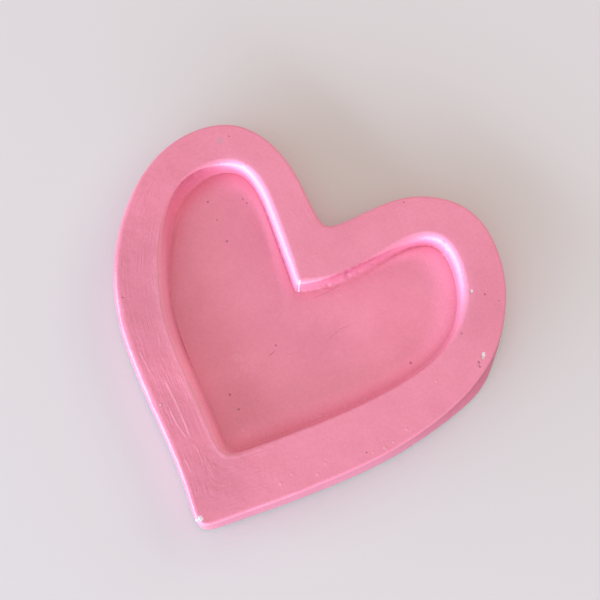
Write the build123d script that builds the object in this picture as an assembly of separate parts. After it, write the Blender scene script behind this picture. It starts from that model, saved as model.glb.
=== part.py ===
from build123d import *
import os

# Heart-shaped trinket dish: one cast body with an open heart-shaped recess, standing on three
# stick-on felt pads.
# Millimetres, +Z up, +Y from the tip towards the notch between the lobes, +X towards the right
# lobe. The origin is on the surface that the dish stands on, under its middle.

# ---- Driving dimensions ----

# Body
DISH_WIDTH = 110.0
DISH_LENGTH = 107.5
FLOOR_THICKNESS = 3.0
WALL_LEAN = 0.4  # how far the outer wall leans in between its foot and the rim
NOTCH_RADIUS = 3.5
TIP_RADIUS = 4.0
RIM_ROUNDING = 1.8
BASE_ROUNDING = 0.4

# Recess, placed by the width of the rim that is left around it
RECESS_DEPTH = 5.5
RIM_LEFT = 11.2
RIM_RIGHT = 12.0
RIM_TOP = 11.2
RIM_TIP = 19.8
RECESS_LEAN = 1.0  # how far the recess wall leans in between its mouth and the floor
CLEFT_RADIUS = 1.2
RECESS_TIP_RADIUS = 4.5
MOUTH_ROUNDING = 0.8
FLOOR_FILLET = 1.2

# Felt pads
PAD_DIAMETER = 12.0
PAD_THICKNESS = 1.0
PAD_INSET_SIDE = 26.0  # from the dish's left or right extreme to a lobe pad's centre
PAD_INSET_TOP = 24.0  # from the top of the lobes to a lobe pad's centre
PAD_INSET_TIP = 27.0  # from the tip to the tip pad's centre

# ---- Shapes of the two hearts ----

# A heart has a notch corner, a tip corner, and a right and a left half between them. Each half is a
# smooth curve from the notch, over the lobe, through its points to the tip. Points are shares of
# half the heart's width and half its length, measured from its middle. Headings are the curve's
# directions at the notch and at the tip, in degrees from +X. The form was made by hand, so the
# halves differ a little.
OUTER_SHAPE = {
    "notch": (-0.01, 0.62),
    "tip": (-0.03, -1.035),
    "right": [(0.32, 0.94), (0.62, 0.99), (0.87, 0.78), (1.0, 0.33), (0.71, -0.32)],
    "right_headings": (38, -138),
    "left": [(-0.27, 0.86), (-0.65, 0.99), (-0.9, 0.8), (-0.995, 0.34), (-0.86, -0.11)],
    "left_headings": (144, -56),
}
RECESS_SHAPE = {
    "notch": (-0.03, 0.307),
    "tip": (-0.06, -1.05),
    "right": [(0.34, 0.66), (0.68, 0.99), (0.85, 0.88), (1.0, 0.46), (0.62, -0.34)],
    "right_headings": (23, -140),
    "left": [(-0.31, 0.69), (-0.7, 1.0), (-0.97, 0.74), (-0.98, 0.37), (-0.7, -0.3)],
    "left_headings": (127, -51),
}

# Turns from a half's direction of travel to the inside of the heart, in degrees
INWARD_TURN = {"right": -90, "left": 90}

# ---- Sizes that follow ----

BASE_Z = PAD_THICKNESS
FLOOR_Z = BASE_Z + FLOOR_THICKNESS
RIM_Z = FLOOR_Z + RECESS_DEPTH
RECESS_WIDTH = DISH_WIDTH - RIM_LEFT - RIM_RIGHT
RECESS_LENGTH = DISH_LENGTH - RIM_TOP - RIM_TIP
RECESS_CENTRE = Vector((RIM_LEFT - RIM_RIGHT) / 2, (RIM_TIP - RIM_TOP) / 2)
LOBE_PAD_X = DISH_WIDTH / 2 - PAD_INSET_SIDE
LOBE_PAD_Y = DISH_LENGTH / 2 - PAD_INSET_TOP
TIP_PAD_Y = PAD_INSET_TIP - DISH_LENGTH / 2
PAD_PLACES = {
    "foot_pad_left": (-LOBE_PAD_X, LOBE_PAD_Y),
    "foot_pad_right": (LOBE_PAD_X, LOBE_PAD_Y),
    "foot_pad_tip": (0, TIP_PAD_Y),
}


def curve_through(places, headings):
    """A smooth curve through the places that sets out and arrives in the two headings."""
    ends = [Vector(1, 0).rotate(Axis.Z, heading) for heading in headings]
    return Spline(*places, tangents=ends, tangent_scalars=[1, 1])


def half_heart(shape, side, width, length, centre):
    """Places of one half from the notch to the tip, and the inward direction at each."""
    shares = [shape["notch"], *shape[side], shape["tip"]]
    places = [centre + Vector(x * width / 2, y * length / 2) for x, y in shares]
    curve = curve_through(places, shape[side + "_headings"])
    along = [curve.tangent_at(curve.param_at_point(place)) for place in places]
    inwards = [direction.rotate(Axis.Z, INWARD_TURN[side]) for direction in along]
    return places, inwards


def corner_shift(inward_a, inward_b):
    """How a corner moves when both of its sides move inwards by one."""
    return (inward_a + inward_b) * (1 / (1 + inward_a.dot(inward_b)))


def heart_face(shape, width, length, centre, inset, z):
    """A flat heart at height z with sharp corners, drawn in by the inset all round."""
    halves = {side: half_heart(shape, side, width, length, centre) for side in INWARD_TURN}
    notch_shift = corner_shift(halves["right"][1][0], halves["left"][1][0])
    tip_shift = corner_shift(halves["right"][1][-1], halves["left"][1][-1])
    edges = []
    for side, (places, inwards) in halves.items():
        shifts = [notch_shift, *inwards[1:-1], tip_shift]
        moved = [place + shift * inset + Vector(0, 0, z) for place, shift in zip(places, shifts)]
        edges.append(curve_through(moved, shape[side + "_headings"]).edge())
    return Face(Wire(edges))


def upright_edges(block):
    """The block's edges that join its bottom to its top, from the tip's end to the notch's."""
    flat = block.edges().filter_by(Plane.XY)
    return (block.edges() - flat).sort_by(Axis.Y)


def heart_block(lower_face, upper_face, notch_radius, tip_radius):
    """The block between two hearts, with its tip and its notch rounded."""
    block = loft([lower_face, upper_face], ruled=True)
    block = fillet(upright_edges(block)[0], tip_radius)
    return fillet(upright_edges(block)[-1], notch_radius)


def make_recess():
    """The space that is open above the dish's floor."""
    size = (RECESS_SHAPE, RECESS_WIDTH, RECESS_LENGTH, RECESS_CENTRE)
    floor = heart_face(*size, inset=RECESS_LEAN, z=FLOOR_Z)
    mouth = heart_face(*size, inset=0, z=RIM_Z)
    block = heart_block(floor, mouth, CLEFT_RADIUS, RECESS_TIP_RADIUS)
    return fillet(block.faces().sort_by(Axis.Z)[0].edges(), FLOOR_FILLET)


def make_dish_body():
    """The casting: a thick heart, rounded at the rim, with the recess sunk into its top."""
    size = (OUTER_SHAPE, DISH_WIDTH, DISH_LENGTH, Vector(0, 0))
    base = heart_face(*size, inset=0, z=BASE_Z)
    top = heart_face(*size, inset=WALL_LEAN, z=RIM_Z)
    block = heart_block(base, top, NOTCH_RADIUS, TIP_RADIUS)
    block = fillet(block.faces().sort_by(Axis.Z)[-1].edges(), RIM_ROUNDING)
    block = fillet(block.faces().sort_by(Axis.Z)[0].edges(), BASE_ROUNDING)
    dish = block - make_recess()
    rim = dish.faces().filter_by(Plane.XY).sort_by(Axis.Z)[-1]
    return fillet(rim.inner_wires()[0].edges(), MOUTH_ROUNDING)


def make_pad(x, y):
    """A round felt pad that stands on the ground and carries the body, centred at x, y."""
    on_the_ground = (Align.CENTER, Align.CENTER, Align.MIN)
    return Pos(x, y) * Cylinder(PAD_DIAMETER / 2, PAD_THICKNESS, align=on_the_ground)


nodes = {"dish_body": make_dish_body()}
for name, place in PAD_PLACES.items():
    nodes[name] = make_pad(*place)

os.makedirs("parts", exist_ok=True)
for name, node in nodes.items():
    export_step(node, f"parts/{name}.step")
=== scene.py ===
import math

import bpy
import numpy as np
from bpy.props import FloatProperty, FloatVectorProperty, PointerProperty
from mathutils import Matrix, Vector


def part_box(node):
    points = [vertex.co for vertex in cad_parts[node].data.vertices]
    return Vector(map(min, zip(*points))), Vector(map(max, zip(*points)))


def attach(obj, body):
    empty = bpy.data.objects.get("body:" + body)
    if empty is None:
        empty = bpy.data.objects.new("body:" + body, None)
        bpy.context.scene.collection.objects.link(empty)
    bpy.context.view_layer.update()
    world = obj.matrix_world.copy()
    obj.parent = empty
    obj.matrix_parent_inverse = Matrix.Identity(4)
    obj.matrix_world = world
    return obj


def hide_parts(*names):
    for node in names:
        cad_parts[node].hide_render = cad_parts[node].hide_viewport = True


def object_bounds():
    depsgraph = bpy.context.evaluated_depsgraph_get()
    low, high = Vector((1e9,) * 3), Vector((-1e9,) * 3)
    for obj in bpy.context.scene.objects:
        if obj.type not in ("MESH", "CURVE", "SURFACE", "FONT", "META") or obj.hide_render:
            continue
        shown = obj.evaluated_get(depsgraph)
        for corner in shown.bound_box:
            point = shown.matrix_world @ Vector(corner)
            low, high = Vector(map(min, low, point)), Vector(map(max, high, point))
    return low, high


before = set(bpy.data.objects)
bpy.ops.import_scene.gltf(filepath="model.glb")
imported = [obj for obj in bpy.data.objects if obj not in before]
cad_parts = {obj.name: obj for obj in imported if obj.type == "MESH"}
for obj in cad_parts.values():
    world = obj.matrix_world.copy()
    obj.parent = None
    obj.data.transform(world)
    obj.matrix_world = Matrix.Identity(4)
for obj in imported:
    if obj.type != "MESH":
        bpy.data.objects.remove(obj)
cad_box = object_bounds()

bl_info = {
    "name": "Heart Trinket Dish",
    "version": (1, 0, 0),
    "blender": (4, 5, 0),
    "location": "3D View > Sidebar > Heart Dish",
    "description": "Finishes a hand-cast, hand-painted heart dish and its felt pads",
    "category": "Add Mesh",
}

# Everything is in metres: +Z up out of the recess, +Y from the tip to the notch, and the origin on
# the surface that the dish stands on. Tables are in millimetres.

MM = 0.001

# ---- What the frame says ----

BODY = "root"
BODY_NODE = "dish_body"
PAD_NODES = sorted(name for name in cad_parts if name.startswith("foot_pad"))
BASE_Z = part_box(BODY_NODE)[0].z
RIM_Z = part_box(BODY_NODE)[1].z

# ---- How the body's outlines are read ----

# The body is cut through its solid floor, and through the middle of the recess wall
OUTLINE_CUT = BASE_Z + 2.2 * MM
RECESS_CUT = RIM_Z - 2.0 * MM
RIM_MARGIN = 4 * MM  # what is cut nearer to the outline than this isn't the recess

FINE_STEPS = 8192
SMOOTHING = 1.5 * MM
CORNER_SMOOTHING = 0.25 * MM
TURN_SMOOTHING = 0.8 * MM
GENTLE_BEND = 180  # one over the radius in metres, up to which a stretch is no corner
CORNER_BEND = 260  # and from which it is all corner
CROWDING = 12 * MM  # how strongly the columns crowd where the line turns

# The recess's notch is sharper than the cut says
NOTCH_REACH = 1.6 * MM
NOTCH_FADE = 5 * MM
NOTCH_SHARPENING = 0.8 * MM

# ---- The grid of the casting ----

COLUMNS = 720
RINGS = {
    "underside": 8,
    "base_edge": 4,
    "outer_wall": 9,
    "shoulder": 9,
    "rim": 50,
    "mouth": 10,
    "recess_wall": 9,
    "foot": 8,
    "floor": 28,
}
UNDERSIDE_POLE = 0.04  # size of the ring round the underside's middle, as a share of the outline
FLOOR_POLE = 0.025  # size of the ring round the floor's middle
FLOOR_CROWDING = 1.7  # power by which the floor's rings crowd towards the wall
FLOOR_MIDDLE = 0.43  # where the floor's middle is, as a share of the way from the notch to the tip
FLARE_HEIGHT = 3 * MM  # how far up the outer wall its foot spreads out

# ---- How the hand-made sections change round the heart ----

# Stations run round the heart: 0 at the notch, 1 at the tip by way of the right lobe, and 2 at the
# notch again by way of the left lobe.

# Station, how far the recess wall stands into the recess, how far its top edge is rounded, how far
# it leans in, how far its foot is rounded
RECESS_SECTIONS = [
    (0.00, 0.7, 1.3, 0.3, 0.3),
    (0.04, 1.0, 1.9, 0.4, 0.4),
    (0.08, 0.4, 0.7, 0.5, 0.8),
    (0.12, 0.0, 0.3, 0.2, 1.4),
    (0.17, 0.0, 0.3, 0.2, 1.6),
    (0.20, 0.6, 1.3, 0.3, 0.8),
    (0.22, 1.1, 1.9, 0.2, 0.4),
    (0.25, 1.5, 2.1, 0.2, 0.3),
    (0.30, 1.4, 2.1, 0.2, 0.3),
    (0.35, 0.9, 1.9, 0.3, 0.3),
    (0.40, 1.2, 2.1, 0.3, 0.3),
    (0.46, 1.8, 2.4, 0.2, 0.3),
    (0.51, 1.4, 2.0, 0.3, 0.3),
    (0.56, 0.5, 1.0, 0.6, 0.4),
    (0.61, 0.0, 0.5, 0.8, 0.6),
    (0.66, 0.0, 0.4, 0.7, 0.8),
    (0.90, 0.0, 0.5, 0.8, 0.9),
    (1.00, 0.1, 0.9, 1.5, 0.4),
    (1.10, 0.2, 0.9, 1.7, 0.3),
    (1.25, 0.1, 0.9, 1.7, 0.3),
    (1.38, 0.3, 0.9, 1.9, 0.4),
    (1.45, 0.1, 0.5, 1.5, 0.8),
    (1.56, 0.1, 0.5, 1.3, 1.2),
    (1.60, 0.3, 0.9, 0.8, 0.8),
    (1.65, 1.0, 1.8, 0.3, 0.4),
    (1.72, 1.3, 2.1, 0.2, 0.3),
    (1.80, 1.5, 2.2, 0.3, 0.3),
    (1.90, 1.4, 2.1, 0.4, 0.3),
    (1.96, 0.9, 1.5, 0.6, 0.3),
]

# Station, how far the floor of the recess rises to the foot of the wall
FLOOR_SECTIONS = [
    (0.17, 0.00), (0.23, 0.45), (0.42, 0.60), (0.56, 0.50), (0.65, 0.00), (1.58, 0.00),
    (1.66, 0.45), (1.90, 0.40), (1.97, 0.00),
]

# Station, width and height of the outer shoulder's rounding, how far the wall's foot spreads out,
# how far the wall leans in beyond the body's own lean
OUTER_SECTIONS = [
    (0.00, 0.8, 0.9, 0.0, 0.0),
    (0.30, 0.7, 0.9, 0.0, 0.0),
    (0.43, 0.6, 0.7, 0.0, 0.1),
    (0.48, 0.6, 0.7, 0.0, 0.5),
    (0.53, 0.6, 0.7, 0.1, 0.7),
    (0.55, 0.6, 0.8, 0.8, 0.8),
    (0.58, 0.6, 0.8, 1.3, 0.8),
    (0.61, 0.6, 0.8, 0.7, 0.8),
    (0.66, 0.7, 0.8, 0.1, 0.6),
    (0.80, 0.9, 0.9, 0.0, 0.4),
    (0.95, 1.0, 1.1, 0.0, 0.2),
    (1.00, 1.3, 1.5, 0.0, 0.0),
    (1.15, 2.0, 2.0, 0.0, 0.0),
    (1.30, 2.6, 2.4, 0.0, 0.0),
    (1.45, 1.8, 1.8, 0.0, 0.0),
    (1.60, 0.8, 1.0, 0.0, 0.0),
    (1.85, 0.7, 0.9, 0.0, 0.0),
]

# Station, strength of the painted shade, a dark line, at the foot of the recess wall
CREASE_SHADE_SECTIONS = [
    (0.00, 0.1), (0.10, 0.1), (0.18, 0.1), (0.22, 0.9), (0.32, 0.9), (0.38, 0.3), (0.46, 0.2),
    (0.55, 0.2), (0.65, 0.05), (0.93, 0.05), (1.02, 0.2), (1.15, 0.4), (1.40, 0.5), (1.48, 0.2),
    (1.65, 0.3), (1.78, 0.4), (1.84, 0.9), (1.96, 0.9), (1.99, 0.3),
]

# Station, strength of the painted shade, a dark line right under the mouth of the recess, how
# far up and how far down it reaches
LIP_SHADE_SECTIONS = [
    (0.06, 0.0, 0.50, 1.0), (0.09, 0.7, 0.60, 1.8), (0.11, 1.0, 0.60, 3.2),
    (0.17, 1.0, 0.60, 2.8), (0.20, 0.5, 0.40, 1.2), (0.23, 0.0, 0.25, 0.5),
    (0.60, 0.0, 0.25, 0.4), (0.63, 0.25, 0.25, 0.4), (0.95, 0.1, 0.25, 0.4),
    (0.99, 0.0, 0.25, 0.4), (1.42, 0.0, 0.25, 2.4), (1.49, 0.6, 0.25, 3.0),
    (1.54, 1.0, 0.25, 3.4), (1.60, 1.0, 0.25, 3.4), (1.63, 0.0, 0.25, 2.4),
]

# Station, strength of the painted shade, a deeper and duller colour, down the outer wall
SIDE_SHADE_SECTIONS = [
    (0.42, 0.0), (0.49, 0.8), (0.55, 1.0), (0.64, 1.0), (0.74, 0.65), (0.88, 0.6), (0.97, 0.5),
    (1.00, 0.0),
]

# Station, strength of the small beads of paint on the recess floor beside the wall
BEAD_SECTIONS = [
    (0.01, 0.0), (0.03, 0.9), (0.10, 0.9), (0.14, 0.3), (0.20, 0.0), (0.66, 0.0), (0.73, 1.0),
    (0.93, 1.0), (1.00, 0.3), (1.05, 0.0),
]

# Station, strength of the painted shade, a deeper red colour, at the foot of the recess wall
RED_SHADE_SECTIONS = [
    (0.00, 0.1), (0.04, 0.4), (0.08, 0.2), (0.16, 0.3), (0.22, 1.0), (0.33, 1.0), (0.38, 0.4),
    (0.55, 0.3), (0.65, 0.4), (0.73, 0.7), (0.90, 0.6), (1.00, 0.1), (1.30, 0.2), (1.45, 0.9),
    (1.72, 1.0), (1.80, 0.6), (1.92, 0.6), (1.97, 0.1),
]

# Station, strength of the painted light, a paler colour, on the left recess wall in shade
WALL_LIGHT_SECTIONS = [
    (0.94, 0.0), (1.00, 1.0), (1.36, 1.0), (1.44, 0.0),
]

# Station, strength of the painted reflected light, a brighter colour, on the floor beside the wall
REFLECTED_GLOW_SECTIONS = [
    (0.20, 0.0), (0.26, 0.9), (0.38, 1.0), (0.50, 1.0), (0.58, 0.8), (0.66, 0.5), (0.95, 0.5),
    (1.00, 0.0), (1.60, 0.0), (1.66, 0.9), (1.75, 0.7), (1.85, 0.5), (1.95, 0.2), (1.99, 0.0),
]

# Station, strength of the painted highlight, a paler colour, on the steep walls facing the window
WALL_HIGHLIGHT_SECTIONS = [
    (0.22, 0.0), (0.28, 0.7), (0.50, 0.7), (0.57, 0.0), (1.62, 0.0), (1.68, 0.9), (1.80, 1.0),
    (1.94, 1.0), (1.99, 0.0),
]

# Marks along the recess wall's foot, painted shade and light among them: name, how far inwards
# of the foot the mark is strongest, how far it fades outwards and inwards from there, strengths
FOOT_MARKS = [
    ("beads", 1.2, 1.2, 1.3, BEAD_SECTIONS),
    # Painted shade, tinted red
    ("painted_red_shade", 0.0, 2.6, 3.5, RED_SHADE_SECTIONS),
    # Painted reflected light on the floor beside the walls
    ("painted_reflection", 2.6, 2.5, 4.0, REFLECTED_GLOW_SECTIONS),
    # Painted highlight on the steep walls that face the window
    ("painted_wall_highlight", -3.6, 3.0, 2.8, WALL_HIGHLIGHT_SECTIONS),
    # Painted light on the left recess wall
    ("drag_and_painted_light", -3.4, 3.6, 2.4, WALL_LIGHT_SECTIONS),
]
MARKS = ["brushed", "painted_crease_shade", "side", *(name for name, *_ in FOOT_MARKS)]

# ---- What the maker's hand and brush left in places ----

# Broad patches where the paint is darker or brighter: x, y, radius, darkening
PATCHES = [
    (-43.6, 3.0, 20.0, 0.10), (-34.0, -12.0, 16.0, 0.09), (-18.0, -28.0, 12.0, 0.08),
    (-2.0, -42.0, 14.0, 0.11), (-13.0, -10.0, 24.0, -0.06), (25.0, 15.0, 20.0, -0.10),
    (-26.0, 10.0, 14.0, -0.03), (47.0, 28.0, 14.0, 0.03), (0.0, 27.0, 12.0, 0.03),
]

# Raised spots and hollows of the casting: x, y, radius, height
LUMPS = [
    (-23.1, -28.8, 0.6, 0.20), (52.2, 12.4, 0.8, 0.20), (9.6, 23.6, 0.8, -0.30),
    (11.2, 24.2, 0.5, -0.15), (12.4, 25.8, 0.5, -0.12), (0.4, -27.7, 0.8, 0.12),
    (3.0, -28.4, 0.6, 0.12), (51.2, 14.4, 1.0, -0.22), (42.5, 30.3, 0.6, -0.15),
    (50.9, 12.0, 0.6, -0.20), (31.0, 40.9, 0.8, 0.20), (32.3, 39.6, 0.7, 0.20),
    (-28.3, 42.4, 0.7, 0.16), (-24.8, 41.8, 0.7, 0.16),
]

# Places where the paint is chipped down to the white casting: x, y, z, radius
CHIPS = [
    (-1.9, -51.6, 9.3, 0.72), (-2.7, -52.3, 8.5, 0.45), (51.1, 15.2, 9.5, 0.36),
    (51.3, 14.6, 9.5, 0.44), (51.5, 13.9, 9.5, 0.34), (42.5, 30.3, 9.5, 0.38),
    (-23.1, -28.8, 9.6, 0.24),
]

# Pin-holes left by air bubbles, dark with painted shade: x, y, radius
PIN_HOLES = [
    (-34.9, 30.1, 0.22), (-30.4, 26.0, 0.16), (-25.4, 21.2, 0.24), (-26.0, 34.5, 0.16),
    (-24.5, 33.8, 0.16), (-1.5, -1.6, 0.20), (-7.9, -18.8, 0.24), (-4.2, -21.5, 0.18),
    (34.2, 7.1, 0.26), (-35.8, 48.8, 0.16), (-44.2, -5.5, 0.20), (17.0, 48.0, 0.18),
    (46.3, 30.9, 0.22), (50.4, 30.6, 0.16), (44.0, 18.3, 0.20), (31.4, -20.6, 0.18),
    (50.8, 12.5, 0.28), (51.4, 11.5, 0.22), (42.5, 30.3, 0.10),
]

# Grains of dust under the paint: x, y, radius
SPECKS = [
    (-10.6, -6.0, 0.30), (-9.6, -7.2, 0.20), (3.1, -3.0, 0.30), (9.9, 18.1, 0.35),
    (8.6, 12.5, 0.20), (16.7, -15.6, 0.35), (18.2, -14.6, 0.25), (22.1, -10.6, 0.35),
    (23.6, -9.2, 0.25), (26.1, -6.7, 0.30), (12.2, -18.9, 0.25), (-1.0, -26.5, 0.40),
    (0.9, -27.2, 0.45), (2.6, -26.4, 0.35), (45.0, -7.8, 0.40), (51.4, 3.2, 0.35),
    (36.0, -18.0, 0.30), (33.0, -20.0, 0.25), (39.0, -11.2, 0.40), (35.3, -17.7, 0.40),
    (37.0, -15.6, 0.35), (13.8, -36.2, 0.45), (15.5, -32.8, 0.35), (21.7, -30.4, 0.40),
    (22.6, -27.1, 0.30), (42.1, 3.6, 0.30),
]

# Smudges in the paint, and painted shade in a hollow of the casting: x, y, z, radius, strength, colour
SMUDGES_AND_HOLLOW_SHADE = [
    (-37.6, 46.5, 9.5, 0.7, 0.35, (0.42, 0.33, 0.36)),
    # Painted shade in the hollow at 9.6, 23.6
    (9.5, 23.8, 7.0, 0.7, 0.60, (0.48, 0.10, 0.17)),
]

# Where the floor is rubbed paler: x, y, radius
RUBBED_SPOT = (-7.5, -9.9, 2.5)

# Hairs and scratches caught in the paint, drawn with a painted shadow: start, end, bow to the left,
# half width
HAIRS = [
    ((2.6, 14.1), (8.9, 21.4), -0.5, 0.14),
    ((11.3, 4.7), (15.2, 11.0), 0.6, 0.12),
]

# Painted highlight down the cleft's upright edge: x, y at the rim and at the floor, bow, half width
EDGE_HIGHLIGHT_LINE = ((-1.6, 16.6), (-1.3, 14.5), 0.0, 0.3)

# Raised strokes of thick paint on the rim, with a painted highlight on them: start, end, bow to
# the left, half width, strength
RIDGES = [
    ((-25.0, -21.8), (-11.8, -34.2), 0.3, 0.44, 1.0),
    ((-20.4, -28.6), (-12.9, -34.1), -0.4, 0.44, 0.9),
    ((-34.2, -17.3), (-29.1, -21.7), 0.1, 0.40, 0.7),
    ((-31.4, -11.2), (-29.1, -14.4), 0.0, 0.40, 0.5),
    ((-18.2, -23.1), (-16.4, -25.3), 0.0, 0.30, 0.4),
    ((-11.2, -34.8), (-8.6, -36.3), 0.0, 0.44, 0.5),
    ((-11.6, -39.1), (-8.5, -41.7), 0.0, 0.44, 0.5),
    ((-7.1, -36.5), (-2.5, -41.0), 0.0, 0.42, 0.3),
]

# How strongly each zone of the casting takes the waves, the brush, the rubble and the lumps
WAVE_ZONES = {"underside": 0.5, "base_edge": 0.7, "outer_wall": 1, "shoulder": 1, "rim": 1,
              "mouth": 1, "recess_wall": 1.4, "foot": 1, "floor": 0.8}
STROKE_ZONES = {"outer_wall": 1, "shoulder": 1, "rim": 1, "mouth": 0.8}
GLOSS_STROKE_ZONES = {"outer_wall": 1, "shoulder": 1, "rim": 1, "mouth": 1, "recess_wall": 0.5}
RUBBLE_ZONES = {"recess_wall": 0.5, "foot": 1, "floor": 0.05}
TORN_ZONES = {"mouth": 0.2, "recess_wall": 0.4, "foot": 1, "floor": 0.2}
LUMP_ZONES = {"shoulder": 1, "rim": 1, "mouth": 1, "recess_wall": 1, "foot": 1, "floor": 1}
DRAG_RELIEF = 0.035 * MM  # height of the ridges dragged along the left recess wall

# Stretches of the heart: first station, last station, width of the fade at both ends
BRUSHED_RIM = (0.95, 1.62, 0.15)
BRUSHED_COAT = (0.90, 1.62, 0.15)
DRAGGED_WALL = (1.04, 1.60, 0.08)
RUBBLE_WALL = (0.025, 0.10, 0.03)
TORN_WALL = (0.08, 0.22, 0.04)

# ---- The pads and the stage ----

PAD_COLUMNS = 120
PAD_RINGS = {"flat": 22, "edge": 7, "wall": 6}
PAD_POLE = 0.04  # size of the ring round the pad's middle, as a share of its flat
FLOOR_REACH = 4.0
LIGHT_DISTANCE = 1.5
SENSOR_WIDTH = 36  # in millimetres
BACKDROP = (0.76, 0.75, 0.74)

# ---- Colours ----

# What the paint's own colour is multiplied by where the coat is deeper or lighter, and, in the
# last three, in the painted shade at the wall's foot, in its creases and down the outer wall
DEEP = (0.97, 0.92, 0.94)
LIGHT = (1.04, 1.04, 1.04)
BRUSHED = (1.0, 0.90, 0.92)
RED_SHADE = (1.0, 0.66, 0.74)
CREASE_SHADE = (0.66, 0.36, 0.42)
SIDE_SHADE = (0.60, 0.44, 0.46)

# And the plaster's colour where it is stained, the felt's in painted shade in its hollows, and
# the felt's on its clumps
STAINED = (0.88, 0.88, 0.88)
FELT_HOLLOW_SHADE = (0.75, 0.75, 0.75)
CLUMPED = (1.15, 1.15, 1.15)

# Colours of single marks, painted light and shade among them
# Painted reflected light on the floor beside the walls
PAINTED_REFLECTION = (1.0, 0.345, 0.50)
# Painted highlight on the steep walls that face the window
WALL_HIGHLIGHT = (0.95, 0.36, 0.54)
# Painted light on the left recess wall
PAINTED_WALL_LIGHT = (0.95, 0.37, 0.49)
RUBBED = (0.95, 0.62, 0.72)
DUSTY = (0.95, 0.55, 0.65)
# Painted highlight on the raised strokes of the rim
RIDGE_HIGHLIGHT = (0.93, 0.37, 0.49)
# Painted highlight down the cleft's upright edge
EDGE_HIGHLIGHT = (0.95, 0.80, 0.90)
# Painted shadow along the raised hairs
HAIR_SHADOW = (0.42, 0.10, 0.15)
# Painted shade in the pin-holes
PIN_HOLE_SHADE = (0.28, 0.06, 0.09)


def length_setting(name, description, default):
    """A length in metres."""
    return FloatProperty(name=name, description=description, default=default, unit="LENGTH")


def angle_setting(name, description, degrees):
    """An angle, given here in degrees."""
    return FloatProperty(
        name=name, description=description, default=math.radians(degrees), subtype="ANGLE")


def colour_setting(name, description, default):
    """A colour as linear red, green and blue."""
    return FloatVectorProperty(
        name=name, description=description, default=default, subtype="COLOR", min=0, max=1)


class CastingSettings(bpy.types.PropertyGroup):
    """Sizes and colours of the painted casting."""

    wall_lean: length_setting(
        "Wall lean", "How far the outer wall leans in from its base to the rim", 0.4 * MM)
    base_rounding: length_setting(
        "Base rounding", "Rounding of the edge round the underside", 0.4 * MM)
    recess_depth: length_setting("Recess depth", "Depth of the recess below the rim", 5.5 * MM)
    floor_dish: length_setting(
        "Floor dish", "Width of the strip in which the floor rises to the wall", 9 * MM)
    mouth_offset: length_setting(
        "Mouth offset", "How far the recess is wider at the rim than at its cut", 0.36 * MM)
    unevenness: length_setting(
        "Unevenness", "Height of the slow waves in the hand-made surfaces", 0.06 * MM)
    brush_relief: length_setting(
        "Brush relief", "Height of the ridges that the brush left on the rim", 0.010 * MM)
    raggedness: length_setting("Raggedness", "Height of the rough wall beside the cleft", 0.12 * MM)
    paint: colour_setting("Paint", "Colour of the semi-gloss paint", (0.80, 0.258, 0.357))
    plaster: colour_setting("Plaster", "Colour of the bare casting", (0.76, 0.73, 0.68))
    paint_roughness: FloatProperty(
        name="Paint roughness", description="Roughness of the semi-gloss paint",
        default=0.48, min=0, max=1, subtype="FACTOR")


class PadSettings(bpy.types.PropertyGroup):
    """Sizes and colours of the felt pads."""

    edge_rounding: length_setting("Edge rounding", "Rounding of the felt's worn edge", 0.3 * MM)
    fibre_relief: length_setting("Fibre relief", "Height of the felt's fibres", 0.05 * MM)
    felt: colour_setting("Felt", "Colour of the felt", (0.62, 0.58, 0.51))


class StageSettings(bpy.types.PropertyGroup):
    """The camera, the lights and the floor."""

    azimuth: angle_setting(
        "Azimuth", "Direction the camera stands in, round from the tip's side", 21.4)
    elevation: angle_setting("Elevation", "Height of the camera above the horizon", 73.6)
    distance: length_setting(
        "Distance", "Distance from the camera to the point it looks at", 269 * MM)
    lens: FloatProperty(
        name="Lens", description="Focal length in millimetres on a 36 millimetre sensor",
        default=60.0, unit="CAMERA")
    aim_right: length_setting(
        "Aim right", "Where the camera looks, from the middle of the rim, along X", 0.45 * MM)
    aim_back: length_setting(
        "Aim back", "Where the camera looks, from the middle of the rim, along Y", 11.1 * MM)
    window_power: FloatProperty(
        name="Window power", description="Power of the large soft window light",
        default=106.0, unit="POWER")
    window_width: length_setting("Window width", "Width of the window light", 5.2)
    window_rise: length_setting("Window rise", "Height of the window light from edge to edge", 0.45)
    window_colour: colour_setting("Window colour", "Colour of the window light", (0.62, 0.75, 1.0))
    window_azimuth: angle_setting(
        "Window azimuth", "Direction that the window light stands in, round from +X", -112)
    window_height: angle_setting(
        "Window height", "Height of the window light above the horizon", 12)
    fill_power: FloatProperty(
        name="Fill power", description="Power of the soft light opposite the window",
        default=6.0, unit="POWER")
    fill_width: length_setting("Fill width", "Width of the opposite light", 1.5)
    fill_rise: length_setting("Fill rise", "Height of the opposite light from edge to edge", 0.7)
    fill_azimuth: angle_setting(
        "Fill azimuth", "Direction that the opposite light stands in, round from +X", 55)
    fill_height: angle_setting("Fill height", "Height of the opposite light above the horizon", 28)
    ambient: FloatProperty(
        name="Ambient", description="Strength of the even light from all round",
        default=0.69, min=0)
    ambient_colour: colour_setting(
        "Ambient colour", "Colour of the even light from all round", (1.0, 0.82, 0.79))
    floor: colour_setting("Floor", "Colour of the plain floor", (0.70, 0.71, 0.68))


# ---- Shapes as whole arrays ----


def smooth_step(share):
    """0 up to 0, 1 from 1 on, and the cubic 3t^2 - 2t^3 in between."""
    share = np.clip(share, 0, 1)
    return share * share * (3 - 2 * share)


def averaged(ring, spread):
    """The values of a closed ring, averaged under a bell curve `spread` steps wide.

    The ring's Fourier transform is multiplied by exp(-2 (pi f spread)^2), f in cycles a step."""
    frequency = np.fft.fftfreq(len(ring))
    return np.fft.ifft(np.fft.fft(ring) * np.exp(-2 * (np.pi * frequency * spread) ** 2))


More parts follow.
